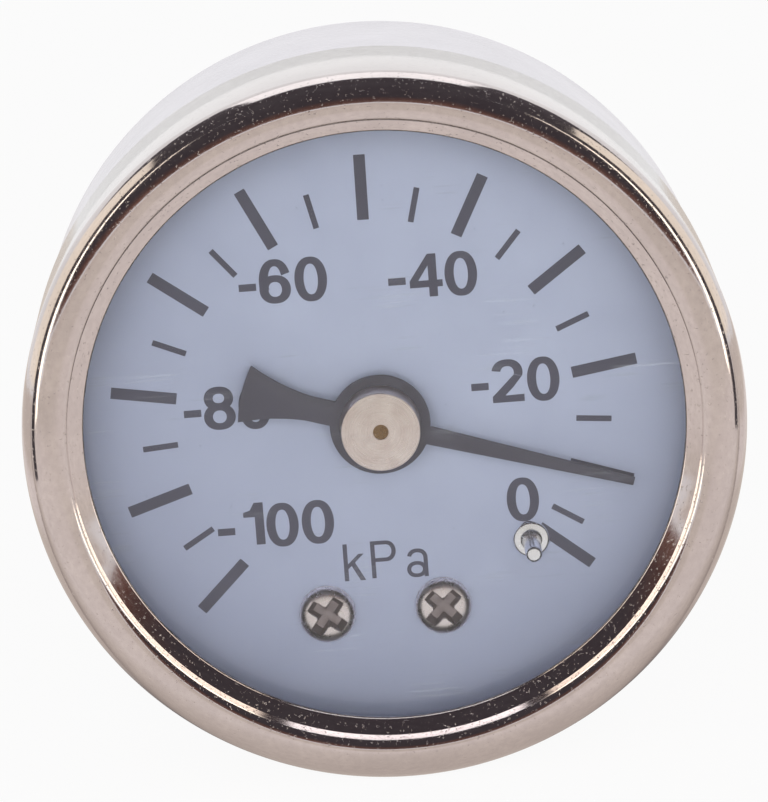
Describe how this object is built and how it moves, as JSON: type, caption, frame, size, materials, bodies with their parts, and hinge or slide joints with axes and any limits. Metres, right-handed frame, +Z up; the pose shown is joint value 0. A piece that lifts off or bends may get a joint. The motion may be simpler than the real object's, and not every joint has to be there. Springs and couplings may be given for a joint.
{
  "type": "vacuum gauge",
  "caption": "Round back-entry vacuum gauge: stepped bezel, recessed clear window, printed dial, pointer on a stop pin, Bourdon tube movement and a threaded stem.",
  "frame": {"origin": "on the thread's axis, at the shoulder that the thread starts from", "axes": "+Y out along the thread, so the dial looks along -Y; +Z up through the dial's twelve o'clock; +X to the right as the dial is read"},
  "size_m": [0.0426, 0.0428, 0.0426],
  "materials": {
    "nickel_case": "brushed nickel plate over drawn brass",
    "nickel_bezel": "satin nickel plate over brass",
    "window_clear": "clear polycarbonate",
    "seal_rubber": "matt black nitrile rubber",
    "dial_paint": "matt pale grey-blue lacquer on aluminium",
    "pointer_paint": "matt dark charcoal lacquer on aluminium",
    "nickel_bright": "bright nickel plate",
    "steel_bright": "bright turned steel",
    "zinc_screw": "bright zinc plate",
    "brass_turned": "machined brass",
    "brass_sheet": "stamped brass sheet",
    "bronze_tube": "drawn phosphor bronze",
    "bronze_spring": "rolled phosphor bronze strip"
  },
  "bodies": {
    "gauge": {"case": "nickel_case", "bezel_ring": "nickel_bezel", "window": "window_clear", "window_gasket": "seal_rubber", "dial_plate": "dial_paint", "dial_screws": "nickel_bright", "stop_pin": "steel_bright", "socket": "brass_turned", "restrictor": "brass_turned", "case_screws": "zinc_screw", "vent_plug": "seal_rubber", "bourdon_tube": "bronze_tube", "hairspring": "bronze_spring", "hairspring_stud": "brass_turned", "movement_front_plate": "brass_sheet", "movement_back_plate": "brass_sheet", "movement_pillars": "brass_turned", "movement_screws": "steel_bright", "movement_mount_screws": "steel_bright"},
    "pointer_group": {"pointer": "pointer_paint", "pointer_hub": "nickel_bright", "pinion_arbor": "brass_turned", "hairspring_collet": "brass_turned"},
    "sector_group": {"sector_gear": "brass_sheet", "sector_arbor": "steel_bright", "sector_pin": "steel_bright"},
    "tube_end": {"tube_tip": "brass_turned", "tip_pin": "steel_bright"},
    "link": {"link": "brass_sheet"}
  },
  "joints": [
    {"name": "sector_swing", "type": "hinge", "parent": "gauge", "child": "sector_group", "pos_m": [0.00424, -0.019, -0.00848], "axis": [0, 1, 0], "range_deg": [-2.7, 30.5], "stiffness_Nm_per_rad": 0.002},
    {"name": "pointer_spin", "type": "hinge", "parent": "gauge", "child": "pointer_group", "pos_m": [-0.00026, -0.019, -0.00069], "axis": [0, 1, 0], "range_deg": [-244, 21.6], "deforming": ["hairspring"]},
    {"name": "tube_tip_flex", "type": "hinge", "parent": "gauge", "child": "tube_end", "pos_m": [-0.0024, -0.0171, 0.00376], "axis": [0, 1, 0], "range_deg": [-0.83, 9.43], "deforming": ["bourdon_tube"]},
    {"name": "link_swing", "type": "hinge", "parent": "tube_end", "child": "link", "pos_m": [0.0112, -0.01815, -0.00136], "axis": [0, 1, 0], "range_deg": [-11.74, 1.04]}
  ],
  "couplings": [
    {"joint": "pointer_spin", "follows": "sector_swing", "ratio": -8},
    {"joint": "tube_tip_flex", "follows": "sector_swing", "ratio": 0.309},
    {"joint": "link_swing", "follows": "sector_swing", "ratio": -0.3849}
  ]
}
